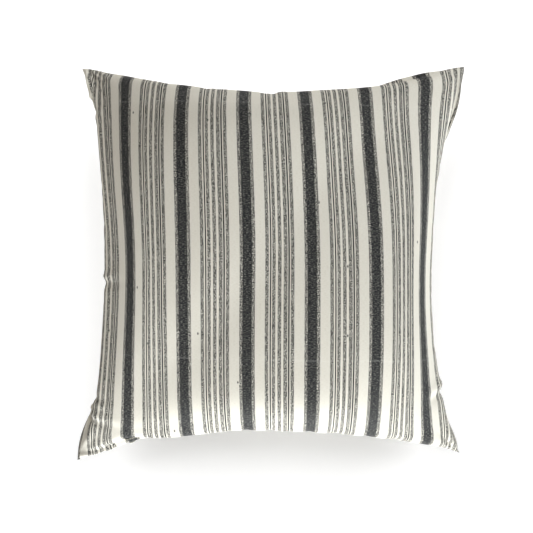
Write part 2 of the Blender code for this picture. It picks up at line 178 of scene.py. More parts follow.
def side_pull(side, share, sewn=True):
    """How far a side has pulled in at a share (-1 to 1) along it, as sewn or as its plain curve."""
    if side == "bottom":
        pulled = arc_sag(ZIP_PULL_IN, HALF_WIDTH, share)
    else:
        pull, lower, upper = SIDE_CURVES[side]
        if not sewn:
            return pull * (1 - share**2)
        pulled = pull * np.where(share < 0, full_curve(share, *lower), full_curve(share, *upper))
    for where, at, wide, deep in SIDE_TUCKS:
        if where == side:
            pulled = pulled + deep * np.exp(-(((share - at) / wide) ** 2)) * (1 - share**2)
    return pulled + SCALLOP[side] * waver(share, 40 + SIDES.index(side))


def outline(u, v, sewn=True):
    """The seam's plan, or the plain curves it follows: u and v run -1 to 1 across the cut panel."""
    left = -EAR_HALF_WIDTH + side_pull("left", v, sewn)
    right = EAR_HALF_WIDTH - side_pull("right", v, sewn)
    bottom = -HALF_HEIGHT + side_pull("bottom", u, sewn)
    top = EAR_HALF_HEIGHT - side_pull("top", u, sewn)
    lean = EAR_SKEW * np.abs(u * v) ** 3
    x = left + (right - left) * (u + 1) / 2 + lean * v
    y = bottom + (top - bottom) * (v + 1) / 2 + lean * u
    return x, y


# ---------------------------------------------------------------- cloth


def turned(quads, flip):
    return quads[:, ::-1] if flip else quads


def grid_faces(rows, columns, flip=False):
    first = np.arange(rows)[:, None] * (columns + 1) + np.arange(columns)[None, :]
    quads = np.stack([first, first + 1, first + columns + 2, first + columns + 1], -1)
    return turned(quads.reshape(-1, 4), flip)


def ring_faces(outer, inner, flip=False):
    """Faces between two closed loops of points."""
    return turned(np.stack([outer, inner, np.roll(inner, -1), np.roll(outer, -1)], 1), flip)


def share_grid(shares):
    return np.meshgrid(shares, shares)


def smoothly(share):
    return share**2 * (3 - 2 * share)


def crown(u, v, power):
    return (np.clip(1 - u * u, 0, 1) * np.clip(1 - v * v, 0, 1)) ** power


def rolling(u, v, rng, least, pitches, waves):
    """Waves both ways across a sheet, laid over each other."""
    total = 0
    for _ in range(waves):
        size = rng.uniform(least, 1)
        across = np.sin(rng.uniform(*pitches) * u + rng.uniform(0, 6))
        total = total + size * across * np.sin(rng.uniform(*pitches) * v + rng.uniform(0, 6))
    return total


def link(obj):
    bpy.context.scene.collection.objects.link(obj)
    return obj


def cut_sheet(name, rumple_seed):
    """A flat square of cloth, with a key that draws its edge in to the seam."""
    u, v = share_grid(np.linspace(-1, 1, CLOTH_CELLS + 1))
    x, y = outline(u, v)
    rumple = rolling(u, v, np.random.default_rng(rumple_seed), -1, (2, 9), 12)
    z = START_DOME * crown(u, v, 0.6) * (1 + START_RUMPLE * rumple)
    flat = np.stack([u * CUT / 2, v * CUT / 2, z], -1).reshape(-1, 3)
    drawn = np.stack([x, y, z], -1).reshape(-1, 3)
    mesh = bpy.data.meshes.new(name)
    mesh.from_pydata(flat.tolist(), [], grid_faces(CLOTH_CELLS, CLOTH_CELLS).tolist())
    sheet = link(bpy.data.objects.new(name, mesh))
    sheet.shape_key_add(name="Basis")
    key = sheet.shape_key_add(name="drawn_in")
    key.data.foreach_set("co", drawn.ravel())
    key.value = 0
    key.keyframe_insert("value", frame=1)
    key.value = 1
    key.keyframe_insert("value", frame=DRAW_IN_FRAMES)
    seam = sheet.vertex_groups.new(name="seam")
    edge = (np.abs(u) == 1) | (np.abs(v) == 1)
    seam.add(np.flatnonzero(edge.ravel()).tolist(), 1.0, "REPLACE")
    return sheet


def fill_with_air(sheet):
    cloth = sheet.modifiers.new("cloth", "CLOTH")
    for name, value in CLOTH_SETTINGS.items():
        setattr(cloth.settings, name, value)
    cloth.settings.effector_weights.gravity = 0
    cloth.point_cache.frame_start = 1
    cloth.point_cache.frame_end = CLOTH_FRAMES


def blown_skins():
    """The two faces of the cover as grids of points above their seam."""
    sheets = [cut_sheet("front_sheet", 5), cut_sheet("back_sheet", 11)]
    for sheet in sheets:
        fill_with_air(sheet)
    for number in range(1, CLOTH_FRAMES + 1):
        bpy.context.scene.frame_set(number)
    shapes = bpy.context.evaluated_depsgraph_get()
    skins = []
    for sheet in sheets:
        mesh = sheet.evaluated_get(shapes).data
        points = np.empty(len(mesh.vertices) * 3, np.float32)
        mesh.vertices.foreach_get("co", points)
        skins.append(points.astype(float).reshape(CLOTH_CELLS + 1, CLOTH_CELLS + 1, 3))
    for sheet in sheets:
        used = sheet.data
        bpy.data.objects.remove(sheet)
        bpy.data.meshes.remove(used)
    for action in list(bpy.data.actions):
        bpy.data.actions.remove(action)
    bpy.context.scene.frame_set(1)
    return skins


def spline_rows(shares, cells):
    """Weights that read a smooth curve through evenly spaced points, carried straight on past both ends."""
    rows = np.zeros((len(shares), cells + 3))
    for row, place in zip(rows, (shares + 1) / 2 * cells):
        start = min(int(place), cells - 1)
        t = place - start
        row[start:start + 4] = (
            (-t + 2 * t**2 - t**3) / 2,
            (2 - 5 * t**2 + 3 * t**3) / 2,
            (t + 4 * t**2 - 3 * t**3) / 2,
            (-(t**2) + t**3) / 2,
        )
    for outside, edge, beside in ((0, 1, 2), (-1, -2, -3)):
        rows[:, edge] += 2 * rows[:, outside]
        rows[:, beside] -= rows[:, outside]
    return rows[:, 1:-1]


def resampled(skin, shares):
    rows = spline_rows(shares, skin.shape[0] - 1)
    return np.einsum("ai,bj,ijk->abk", rows, rows, skin)


def seamward(steps):
    """Shares that crowd towards both seams."""
    linear = np.linspace(-1, 1, steps + 1)
    return 0.45 * linear + 0.55 * np.sin(np.pi / 2 * linear)


def normals_of(skin):
    across = np.gradient(skin, axis=1)
    along = np.gradient(skin, axis=0)
    normal = np.cross(across, along)
    return normal / (np.linalg.norm(normal, axis=-1, keepdims=True) + 1e-12)


def from_side(side, flat_x, flat_y):
    """Distance in from a side of the flat cloth, and place along that side."""
    half = CUT / 2
    return {
        "left": (flat_x + half, flat_y),
        "right": (half - flat_x, flat_y),
        "top": (half - flat_y, flat_x),
        "bottom": (flat_y + half, flat_x),
    }[side]


def fold_relief(flat_x, flat_y, folds):
    relief = np.zeros_like(flat_x)
    for side, at, slant, reach, wide, rise in folds:
        inwards, along = from_side(side, flat_x, flat_y)
        across = (along - at * CUT / 2 - slant * inwards) / (wide * (1 + inwards / reach))
        fade = np.clip(1 - inwards / reach, 0, 1) ** 1.3 * np.clip(inwards / (3 * MM), 0, 1)
        relief += rise * fade * 1.65 * across * np.exp(-(across**2))
    return relief


def pucker_relief(flat_x, flat_y, seed):
    """Short gathers that the seam's stitches draw into the cloth beside them."""
    relief = np.zeros_like(flat_x)
    for number, side in enumerate(SIDES):
        inwards, along = from_side(side, flat_x, flat_y)
        gathers = waver(along * 14, seed + number, 14) + 0.5 * waver(along * 30, seed + 9 + number, 10)
        relief += PUCKER * gathers * np.exp(-inwards / PUCKER_REACH) * np.clip(inwards / (2 * MM), 0, 1)
    return relief


def relaxed(grid, cells):
    """A grid of values smoothed over so many cells."""
    near = np.arange(grid.shape[0])
    spread = np.exp(-(((near[:, None] - near[None, :]) / cells) ** 2) / 2)
    spread /= spread.sum(1, keepdims=True)
    return np.einsum("ai,bj,ijk->abk", spread, spread, grid)


def eased(skin, leans):
    """The blown face with its long creases relaxed away from the seams, and its walls leaning in."""
    u, v = share_grid(np.linspace(-1, 1, skin.shape[0]))
    flat = np.stack([*outline(u, v, sewn=False), np.zeros_like(u)], -1)
    rise = skin - flat
    plan, height = relaxed(rise[..., :2], RELAX_PLAN), relaxed(rise[..., 2:], RELAX_HEIGHT)
    soft = flat + np.concatenate([plan, height], -1)
    margin = (1 - np.maximum(np.abs(u), np.abs(v))) * CUT / 2
    share = np.clip((margin - EASED_FROM) / EASED_OVER, 0, 1)[..., None]
    skin = skin + (soft - skin) * smoothly(share)
    for x, y, reach_x, reach_y, lean_x, lean_y in leans:
        away = ((u * CUT / 2 - x) / reach_x) ** 2 + ((v * CUT / 2 - y) / reach_y) ** 2
        skin[..., 0] += lean_x * np.exp(-away) * (1 - u**8)
        skin[..., 1] += lean_y * np.exp(-away) * (1 - v**70)
    return skin


def finished_skin(skin, side, folds, seed):
    """One face in place: full height, folded, puckered, and pressed flat where it lies."""
    shares = seamward(SKIN_STEPS)
    skin = resampled(skin, shares)
    skin[..., 2] *= CROWN / skin[..., 2].max()
    u, v = share_grid(shares)
    flat_x, flat_y = u * CUT / 2, v * CUT / 2
    relief = fold_relief(flat_x, flat_y, folds) + pucker_relief(flat_x, flat_y, seed)
    skin = skin + normals_of(skin) * relief[..., None]
    height = np.maximum(skin[..., 2], 0) + SEAM_LIFT
    if side < 0:
        gap = SEAM_Z - height
        pressed = np.where(gap > PRESS_EASE, gap, PRESS_EASE * np.exp(np.clip(gap / PRESS_EASE - 1, -6, 0)))
        height = SEAM_Z - pressed + FLOOR_GAP
    skin[..., 2] = SEAM_Z + side * height
    return skin, flat_x, flat_y


# ---------------------------------------------------------------- cover panels

# The cloth past the seam line: how far it has turned in, and its height above the seam's middle
TURNED_IN = [
    (0.22 * MM, 0.52 * MM), (0.60 * MM, 0.26 * MM), (1.5 * MM, 0.16 * MM), (4.5 * MM, 0.16 * MM),
    (8.5 * MM, 0.18 * MM),
]
EAR_REACH = 24 * MM


def edge_loop(steps):
    """Indices round the edge of a grid, anticlockwise from its first corner."""
    index = np.arange((steps + 1) ** 2).reshape(steps + 1, steps + 1)
    return np.concatenate([index[0, :-1], index[:-1, -1], index[-1, :0:-1], index[:0:-1, 0]])


def loop_inward(points):
    ahead = np.roll(points, -1, 0) - np.roll(points, 1, 0)
    ahead = ahead[:, :2] / (np.linalg.norm(ahead[:, :2], axis=1, keepdims=True) + 1e-12)
    return np.stack([-ahead[:, 1], ahead[:, 0]], 1)


def corner_room(edge, steps):
    """How much of its full depth the turned-in cloth has at each place: little in the ears."""
    corners = edge[::steps, :2]
    nearest = np.min(np.linalg.norm(edge[:, None, :2] - corners[None], axis=2), axis=1)
    return np.clip(nearest / EAR_REACH, 0.02, 1)[:, None]


def mesh_piece(name, points, faces, uv=None, mat=None):
    mesh = bpy.data.meshes.new(name)
    mesh.from_pydata(np.asarray(points).tolist(), [], np.asarray(faces).tolist())
    if uv is not None:
        corners = np.empty(len(mesh.loops), np.int32)
        mesh.loops.foreach_get("vertex_index", corners)
        layer = mesh.uv_layers.new(name="cloth")
        layer.data.foreach_set("uv", np.asarray(uv)[corners].astype(np.float32).ravel())
    mesh.shade_smooth()
    if mat:
        mesh.materials.append(mat)
    return link(bpy.data.objects.new(name, mesh))


def settled(piece):
    """The piece with its modifiers worked into its mesh."""
    shapes = bpy.context.evaluated_depsgraph_get()
    mesh = bpy.data.meshes.new_from_object(piece.evaluated_get(shapes))
    piece.modifiers.clear()
    spent = piece.data
    piece.data = mesh
    bpy.data.meshes.remove(spent)
    mesh.name = piece.name
    return piece


def give_wall(piece, thickness, offset=-1):
    wall = piece.modifiers.new("wall", "SOLIDIFY")
    wall.thickness = thickness
    wall.offset = offset
    return settled(piece)


def on_striped_cloth(flat_x, flat_y, side):
    """Where each point of a face lies on the striped cloth that it was cut from."""
    across, height = flat_x / CUT * 2, flat_y / CUT * 2
    drift = STRIPE_DRIFT * smoothly(np.clip(DRIFT_BELOW - height, 0, 1))
    drift += STRIPE_FLARE * np.clip(across, 0, 1) ** 3 * np.clip(height, 0, 1)
    gathered = 1 + TOP_GATHER * np.clip(height, 0, 1) ** 1.5 * (1 - across**4)
    return np.stack([flat_x * gathered - side * drift, flat_y], -1).reshape(-1, 2)


def cover_panel(name, face, side, mat):
    """A face of the cover with its edge turned in at the seam."""
    skin, flat_x, flat_y = face
    steps = skin.shape[0] - 1
    loop = edge_loop(steps)
    points, uv = [skin.reshape(-1, 3)], [on_striped_cloth(flat_x, flat_y, side)]
    faces = [grid_faces(steps, steps, side < 0)]
    edge, edge_uv = points[0][loop], uv[0][loop]
    flat_edge = np.stack([flat_x, flat_y], -1).reshape(-1, 2)[loop]
    inward, uv_inward = loop_inward(edge), loop_inward(flat_edge)
    room = corner_room(edge, steps)
    previous = loop
    count = len(points[0])
    for depth, height in TURNED_IN:
        ring = edge.copy()
        ring[:, :2] += inward * (depth * room)
        ring[:, 2] = SEAM_Z + side * height
        points.append(ring)
        uv.append(edge_uv - uv_inward * depth)
        here = np.arange(count, count + len(loop))
        faces.append(ring_faces(previous, here, side < 0))
        previous = here
        count += len(loop)
    piece = mesh_piece(name, np.vstack(points), np.vstack(faces), np.vstack(uv), mat)
    return give_wall(piece, FABRIC)


# ---------------------------------------------------------------- insert

INSERT_MARGIN = 14 * MM
INSERT_DROP = 0.962
FILL_MARGIN = 19 * MM
FILL_DROP = 0.925
INSERT_STEPS = 72
FILL_STEPS = 56
CASING_CLOTH = 0.35 * MM


def shrunk(skin, margin, drop, steps, side):
    """The same swelling, smaller: what lies inside the cover."""
    inner = resampled(skin, np.sin(np.pi / 2 * np.linspace(-1, 1, steps + 1)))
    inner[..., 2] *= CROWN / inner[..., 2].max()
    height = inner[..., 2] * drop
    if side < 0:
        height = np.minimum(height, SEAM_Z - (1 - drop) * LOFT)
    inner[..., 0] *= 1 - margin / HALF_WIDTH
    inner[..., 1] *= 1 - margin / HALF_HEIGHT
    inner[..., 2] = SEAM_Z + side * (np.maximum(height, 0) + SEAM_LIFT)
    return inner


def insert_casing(name, skin, side, mat):
    """One face of the insert's own case, its edge turned in at the seam."""
    steps = INSERT_STEPS
    points = shrunk(skin, INSERT_MARGIN, INSERT_DROP, steps, side).reshape(-1, 3)
    loop = edge_loop(steps)
    tucked = points[loop]
    tucked[:, :2] += loop_inward(tucked) * 5 * MM
    tucked[:, 2] = SEAM_Z + side * 0.3 * MM
    here = np.arange(len(points), len(points) + len(loop))
    faces = np.vstack([grid_faces(steps, steps, side < 0), ring_faces(loop, here, side < 0)])
    everything = np.vstack([points, tucked])
    return give_wall(mesh_piece(name, everything, faces, everything[:, :2], mat), CASING_CLOTH)


def insert_fill(skins, mat):
    """Lofty fibre: the insert's own shape, lumpy like teased wadding."""
    steps = FILL_STEPS
    halves = [shrunk(skin, FILL_MARGIN, FILL_DROP, steps, side) for skin, side in zip(skins, (1, -1))]
    u, v = share_grid(np.sin(np.pi / 2 * np.linspace(-1, 1, steps + 1)))
    rng = np.random.default_rng(23)
    for half, side in zip(halves, (1, -1)):
        lumps = rolling(u, v, rng, 0.4, (6, 26), 16)
        half[..., 2] -= side * 0.9 * MM * crown(u, v, 0.5) * (1 + lumps / 4)
    points = np.vstack([half.reshape(-1, 3) for half in halves])
    lower = (steps + 1) ** 2
    loop = edge_loop(steps)
    bridge = ring_faces(loop, loop + lower)
    faces = np.vstack([grid_faces(steps, steps), grid_faces(steps, steps, True) + lower, bridge])
    return mesh_piece("insert_filling", points, faces, None, mat)


# ---------------------------------------------------------------- node helpers


class Wiring:
    """A node tree being wired: add() makes a node and sets or links its inputs."""

    def __init__(self, tree):
        self.tree = tree

    def add(self, kind, inputs=None, **settings):
        made = self.tree.nodes.new(kind)
        for name, value in settings.items():
            setattr(made, name, value)
        for key, value in (inputs or {}).items():
            self.feed(made.inputs[key], value)
        return made

    def feed(self, socket, value):
        if isinstance(value, bpy.types.NodeSocket):
            self.tree.links.new(value, socket)
        else:
            socket.default_value = value

    def first(self, kind, inputs=None, **settings):
        """The first output of a new node."""
        return self.add(kind, inputs, **settings).outputs[0]

    def math(self, operation, first, second=0.0):
        return self.first("ShaderNodeMath", {0: first, 1: second}, operation=operation)

    def plus(self, first, second):
        return self.math("ADD", first, second)

    def minus(self, first, second):
        return self.math("SUBTRACT", first, second)

    def times(self, first, second):
        return self.math("MULTIPLY", first, second)

    def ramp(self, value, low, high, to_low=0.0, to_high=1.0):
        """Smooth step of a value between two levels."""
        inputs = {"Value": value, "From Min": low, "From Max": high, "To Min": to_low, "To Max": to_high}
        return self.add("ShaderNodeMapRange", inputs, interpolation_type="SMOOTHSTEP").outputs["Result"]

    def mix(self, share, first, second):
        """A colour between two others."""
        return self.add("ShaderNodeMix", {0: share, 6: first, 7: second}, data_type="RGBA").outputs[2]

    def noise(self, place, scale=1.0, detail=2.0, roughness=0.5):
        inputs = {"Vector": place, "Scale": scale, "Detail": detail, "Roughness": roughness}
        return self.add("ShaderNodeTexNoise", inputs).outputs["Fac"]

    def stretched(self, place, x, y, z=1.0):
        return self.first("ShaderNodeVectorMath", {0: place, 1: (x, y, z)}, operation="MULTIPLY")

    def parts(self, place):
        return self.add("ShaderNodeSeparateXYZ", {"Vector": place}).outputs

    def joined(self, x, y, z=0.0):
        return self.first("ShaderNodeCombineXYZ", {"X": x, "Y": y, "Z": z})

    def group(self, tree, **inputs):
        return self.add("ShaderNodeGroup", inputs, node_tree=tree).outputs


class Finish(Wiring):
    """A material being wired, with the numbers that are the same all over set on its shader."""

    def __init__(self, name, plain=None):
        self.mat = bpy.data.materials.new(name)
        self.mat.use_nodes = True
        super().__init__(self.mat.node_tree)
        self.shader = self.tree.nodes["Principled BSDF"]
        for key, value in (plain or {}).items():
            self.shader.inputs[key].default_value = value

    def own_place(self):
        return self.add("ShaderNodeTexCoord").outputs["Object"]

    def cloth_place(self):
        return self.first("ShaderNodeUVMap", uv_map="cloth")

    def done(self, colour, roughness, height=None, strength=0.0, depth=0.0):
        """The material, with its colour and roughness, and bumps where it is given a height."""
        if height is not None:
            inputs = {"Height": height, "Strength": strength, "Distance": depth}
            self.feed(self.shader.inputs["Normal"], self.first("ShaderNodeBump", inputs))
        self.feed(self.shader.inputs["Base Color"], colour)
        self.feed(self.shader.inputs["Roughness"], roughness)
        return self.mat


FLOAT, VECTOR = "NodeSocketFloat", "NodeSocketVector"
GEOMETRY, MATERIAL = "NodeSocketGeometry", "NodeSocketMaterial"


def node_group(name, kind, inputs, outputs):
    """A node group ready to be wired, its inputs named with a starting number or a kind of socket."""
    tree = bpy.data.node_groups.new(name, kind)
    for label, value in inputs.items():
        if isinstance(value, float):
            tree.interface.new_socket(name=label, in_out="INPUT", socket_type=FLOAT).default_value = value
        else:
            tree.interface.new_socket(name=label, in_out="INPUT", socket_type=value)
    for label, socket_type in outputs.items():
        tree.interface.new_socket(name=label, in_out="OUTPUT", socket_type=socket_type)
    wiring = Wiring(tree)
    return tree, wiring, wiring.add("NodeGroupInput").outputs, wiring.add("NodeGroupOutput").inputs


def effect(name, sizes, outputs):
    """A shader group that reads a place and some sizes, and puts out values."""
    return node_group(name, "ShaderNodeTree", {"Place": VECTOR, **sizes}, dict.fromkeys(outputs, FLOAT))


def srgb(red, green, blue):
    """A swatch read off a colour card, 0 to 255, as a shader colour."""
    linear = [((c / 255 + 0.055) / 1.055) ** 2.4 if c > 10 else c / 255 / 12.92 for c in (red, green, blue)]
    return (*linear, 1.0)


# ---------------------------------------------------------------- shared effects


def plain_weave_effect():
    """Over-and-under yarns: which is on top, how high, and how each varies along itself.

    Warp and Weft are yarns to the metre, and Slub is the length in metres of a thick or thin place.
    """
    sizes = {"Warp": 1700.0, "Weft": 1500.0, "Slub": 0.012}
    outputs = ("Height", "Warp On Top", "Warp Shade", "Weft Shade")
    tree, w, given, out = effect("plain_weave", sizes, outputs)
    axes = w.parts(given["Place"])
    warp = w.times(axes["X"], given["Warp"])
    weft = w.times(axes["Y"], given["Weft"])
    warp_number, weft_number = w.math("FLOOR", warp), w.math("FLOOR", weft)
    on_top = w.math("FLOORED_MODULO", w.plus(warp_number, weft_number), 2.0)
    warp_round = w.math("ABSOLUTE", w.math("SINE", w.times(warp, math.pi)))
    weft_round = w.math("ABSOLUTE", w.math("SINE", w.times(weft, math.pi)))
    under = w.minus(1.0, on_top)
    height = w.plus(w.times(on_top, warp_round), w.times(under, weft_round))
    lengths = w.math("DIVIDE", 1.0, given["Slub"])
    warp_place = w.joined(w.times(warp_number, 7.13), w.times(axes["Y"], lengths))
    weft_place = w.joined(w.times(axes["X"], lengths), w.times(weft_number, 5.71), 40.0)
    warp_shade, weft_shade = w.noise(warp_place, 1.0, 3.0, 0.6), w.noise(weft_place, 1.0, 3.0, 0.6)
    swell = w.times(w.plus(warp_shade, weft_shade), 0.45)
    w.feed(out["Height"], w.plus(w.times(height, 0.6), swell))
    w.feed(out["Warp On Top"], on_top)
    w.feed(out["Warp Shade"], warp_shade)
    w.feed(out["Weft Shade"], weft_shade)
    return tree


def linen_marks_effect():
    """Pale slubs across the cloth, dark flecks in it, and a slow unevenness of tone."""
    tree, w, given, out = effect("linen_marks", {"Slubs": 0.5, "Flecks": 0.5}, ("Slub", "Fleck", "Tone"))
    axes = w.parts(given["Place"])
    weft_line = w.math("FLOOR", w.times(axes["Y"], 1250.0))
    slub_place = w.joined(w.times(axes["X"], 45.0), w.times(weft_line, 3.37))
    least_slub = w.minus(0.86, w.times(given["Slubs"], 0.14))
    slub = w.ramp(w.noise(slub_place, 1.0, 1.0), least_slub, 0.86)
    inputs = {"Vector": w.stretched(given["Place"], 1.0, 0.55), "Scale": 62.0}
    cells = w.add("ShaderNodeTexVoronoi", inputs, voronoi_dimensions="2D")
    least_fleck = w.minus(1.0, w.times(given["Flecks"], 0.12))
    chosen = w.math("GREATER_THAN", w.parts(cells.outputs["Color"])["X"], least_fleck)
    spot = w.ramp(cells.outputs["Distance"], 0.035, 0.075, 1.0, 0.0)
    w.feed(out["Slub"], slub)
    w.feed(out["Fleck"], w.times(chosen, spot))
    w.feed(out["Tone"], w.noise(w.stretched(given["Place"], 9.0, 5.0), detail=3.0))
    return tree


def pressed_line_effect():
    """A crease ironed across the cloth: a broken line, which the cover paints paler as a highlight, and a
    soft step in height at it.
    """
    sizes = {"Level": 0.0, "Slope": 0.0, "Width": 0.0012}
    tree, w, given, out = effect("pressed_line", sizes, ("Line", "Height"))
    axes = w.parts(given["Place"])
    wander = w.times(w.minus(w.noise(w.stretched(given["Place"], 14.0, 2.0), 1.0, 1.0), 0.5), 0.004)
    level = w.plus(w.plus(given["Level"], w.times(axes["X"], given["Slope"])), wander)
    away = w.minus(axes["Y"], level)
    near = w.math("DIVIDE", away, given["Width"])
    bell = w.math("POWER", math.e, w.times(w.times(near, near), -1.0))
    broken = w.ramp(w.noise(w.stretched(given["Place"], 30.0, 3.0)), 0.38, 0.62)
    w.feed(out["Line"], w.times(bell, broken))
    w.feed(out["Height"], w.ramp(near, -1.6, 1.6))
    return tree


# ---------------------------------------------------------------- cloth finishes

# The palest cream is a painted highlight, laid along the pressed creases.
CREAM, SHADED_CREAM, PAINTED_CREASE_HIGHLIGHT = srgb(226, 221, 208), srgb(204, 196, 180), srgb(240, 238, 230)
CHARCOAL = srgb(34, 35, 35)
BLACK_YARN = srgb(24, 24, 25)
WEFT = srgb(205, 200, 188)

# The warp as it was wound, from the middle of one charcoal band: ends of yarn over ten, share of dark yarn
HEATHER = 0.56
WARP_PLAN = [
    (6.2, 1.0), (4.1, HEATHER), (13.0, 0.0), (4.5, HEATHER), (1.6, 0.0), (1.6, 0.94), (1.6, 0.0),
    (4.2, HEATHER), (2.9, 0.0), (4.6, HEATHER), (2.9, 0.0), (4.9, HEATHER), (1.3, 0.0), (1.7, 0.94),
    (1.3, 0.0), (4.9, HEATHER), (13.0, 0.0), (3.9, HEATHER), (6.2, 1.0),
]
WARP_REPEAT = 76.4 * MM
PLAN_WIDTH = sum(width for width, dark in WARP_PLAN)
REPEATS_TO_LEFT = 8.5
YARN_DRIFT = 0.45 * MM
# Pressed creases: level and slope across the cloth, and the height of their step; each also gets a painted
# highlight along it.
PRESSED_LINES = [(-0.117, -0.022, 0.35), (0.198, -0.012, -0.2)]


def warp_stripes(w, place, ragged):
    """Share of dark yarn at each place: the warp plan laid side by side, its joins in the dark bands."""
    x = w.plus(w.parts(place)["X"], ragged)
    turn = w.math("FRACT", w.math("DIVIDE", w.plus(x, REPEATS_TO_LEFT * WARP_REPEAT), WARP_REPEAT))
    ramp = w.add("ShaderNodeValToRGB", {"Fac": turn})
    ramp.color_ramp.interpolation = "CONSTANT"
    stops = ramp.color_ramp.elements
    at = 0.0
    for number, (width, dark) in enumerate(WARP_PLAN):
        stop = stops[number] if number < 2 else stops.new(min(at, 1.0))
        stop.position = at
        stop.color = (dark, dark, dark, 1.0)
        at += width / PLAN_WIDTH
    return ramp.outputs["Color"]


def striped_linen(effects):
    plain = {"Sheen Weight": 0.05, "Sheen Roughness": 0.6, "Specular IOR Level": 0.25}
    w = Finish("striped_linen_cover", plain)
    place = w.cloth_place()
    weave = w.group(effects["weave"], Place=place, Warp=1750.0, Weft=1500.0, Slub=0.009)
    marks = w.group(effects["marks"], Place=place, Slubs=0.55, Flecks=0.5)
    dark = warp_stripes(w, place, w.times(w.minus(weave["Weft Shade"], 0.5), YARN_DRIFT))
    speckle = w.noise(w.stretched(place, 1000.0, 700.0), roughness=0.6)
    fine_weft = w.noise(w.stretched(place, 330.0, 1250.0), roughness=0.6)
    heather = w.plus(w.times(weave["Warp Shade"], 0.3), w.times(speckle, 0.7))
    dyed = w.ramp(w.minus(dark, heather), -0.07, 0.11)
    uneven = w.plus(w.times(marks["Tone"], 0.4), w.ramp(fine_weft, 0.62, 0.34, 0.0, 0.5))
    lively_cream = w.mix(uneven, CREAM, SHADED_CREAM)
    lively_dark = w.mix(w.ramp(weave["Warp Shade"], 0.35, 0.7), BLACK_YARN, CHARCOAL)
    colour = w.mix(dyed, lively_cream, lively_dark)
    weft_up = w.plus(w.times(w.minus(1.0, weave["Warp On Top"]), 0.4), 0.6)
    weft_shows = w.times(w.times(weft_up, w.ramp(fine_weft, 0.48, 0.68)), 0.31)
    colour = w.mix(weft_shows, colour, WEFT)
    colour = w.mix(w.times(marks["Slub"], 0.75), colour, WEFT)
    colour = w.mix(w.times(marks["Fleck"], 0.9), colour, BLACK_YARN)
    heights = w.times(weave["Height"], 0.16)
    for level, slope, depth in PRESSED_LINES:
        crease = w.group(effects["pressed"], Place=place, Level=level, Slope=slope, Width=0.0011)
        # Painted highlight: the cloth is painted paler along each pressed crease.
        colour = w.mix(w.times(crease["Line"], 0.07), colour, PAINTED_CREASE_HIGHLIGHT)
        heights = w.plus(heights, w.times(crease["Height"], depth))
    heights = w.plus(heights, w.times(marks["Slub"], 0.25))
    roughness = w.plus(w.times(weave["Height"], 0.10), 0.80)
    return w.done(colour, roughness, heights, 0.55, 0.0008)


def plain_cloth(name, effects, colours, warp, weft, depth, on_cloth=True):
    """One-colour cloth, from its two tones, its threads per metre and how deep its weave is."""
    w = Finish(name, {"Sheen Weight": 0.1})
    place = w.cloth_place() if on_cloth else w.own_place()
    weave = w.group(effects["weave"], Place=place, Warp=warp, Weft=weft, Slub=0.006)
    marks = w.group(effects["marks"], Place=place, Slubs=0.1, Flecks=0.0)
    shade = w.plus(w.times(weave["Height"], 0.5), w.times(marks["Tone"], 0.5))
    colour = w.mix(w.ramp(shade, 0.25, 0.75), *colours)
    return w.done(colour, w.plus(w.times(weave["Height"], 0.1), 0.78), weave["Height"], 0.6, depth)


def spun_thread(name, colours):
    """Two-ply thread: a fine slanting twist in tone and in height."""
    w = Finish(name, {"Sheen Weight": 0.1})
    axes = w.parts(w.own_place())
    along = w.plus(w.times(axes["X"], 5200.0), w.times(axes["Y"], 5200.0))
    twist = w.math("SINE", w.plus(along, w.times(axes["Z"], 9000.0)))
    share = w.ramp(twist, -1.0, 1.0)
    return w.done(w.mix(share, *colours), w.plus(w.times(share, 0.1), 0.6), share, 0.5, 0.0001)


def lofty_fibre():
    w = Finish("lofty_fibre", {"Sheen Weight": 0.3})
    place = w.own_place()
    strands = w.noise(w.stretched(place, 360.0, 2800.0, 2800.0), 1.0, 4.0, 0.7)
    shade = w.plus(w.times(strands, 0.6), w.times(w.noise(place, 40.0, 3.0), 0.4))
    colour = w.mix(w.ramp(shade, 0.3, 0.7), srgb(226, 226, 222), srgb(246, 246, 244))
    return w.done(colour, w.ramp(strands, 0.2, 0.8, 0.88, 0.98), shade, 0.8, 0.002)


def nylon_coil():
    w = Finish("nylon_coil")
    mottle = w.noise(w.own_place(), 900.0)
    colour = w.mix(w.ramp(mottle, 0.3, 0.7), srgb(206, 199, 184), srgb(220, 214, 200))
    return w.done(colour, w.ramp(mottle, 0.2, 0.8, 0.34, 0.5), mottle, 0.2, 0.0001)


def enamelled_zinc():
    """Cast zinc in a thin satin coat, worn to bare metal on its fine scratches."""
    w = Finish("enamelled_zinc")
    place = w.own_place()
    cast = w.noise(place, 700.0, 3.0)
    brushed = w.noise(w.stretched(place, 3000.0, 600.0, 200.0))
    worn = w.ramp(brushed, 0.62, 0.72)
    coat = w.mix(cast, srgb(176, 172, 162), srgb(192, 188, 178))
    w.feed(w.shader.inputs["Metallic"], w.plus(w.times(worn, 0.5), 0.5))
    height = w.plus(cast, w.times(brushed, 0.4))
    colour = w.mix(worn, coat, srgb(205, 205, 202))
    return w.done(colour, w.ramp(cast, 0.2, 0.8, 0.28, 0.46), height, 0.25, 0.0002)


# ---------------------------------------------------------------- stitches and coil, grown along a path


def growth(name, sizes):
    """A geometry group that takes a path, its sizes and a finish."""
    inputs = {"Path": GEOMETRY, **sizes, "Finish": MATERIAL}
    return node_group(name, "GeometryNodeTree", inputs, {"Grown": GEOMETRY})


def points_along(w, path, pitch):
    curve = w.first("GeometryNodeMeshToCurve", {"Mesh": path})
    return w.first("GeometryNodeResampleCurve", {"Curve": curve, "Length": pitch}, mode="LENGTH")


def close_growth(w, given, out, shape):
    real = w.first("GeometryNodeRealizeInstances", {"Geometry": shape})
    smooth = w.first("GeometryNodeSetShadeSmooth", {"Geometry": real})
    finished = w.first("GeometryNodeSetMaterial", {"Geometry": smooth, "Material": given["Finish"]})
    w.feed(out["Grown"], finished)


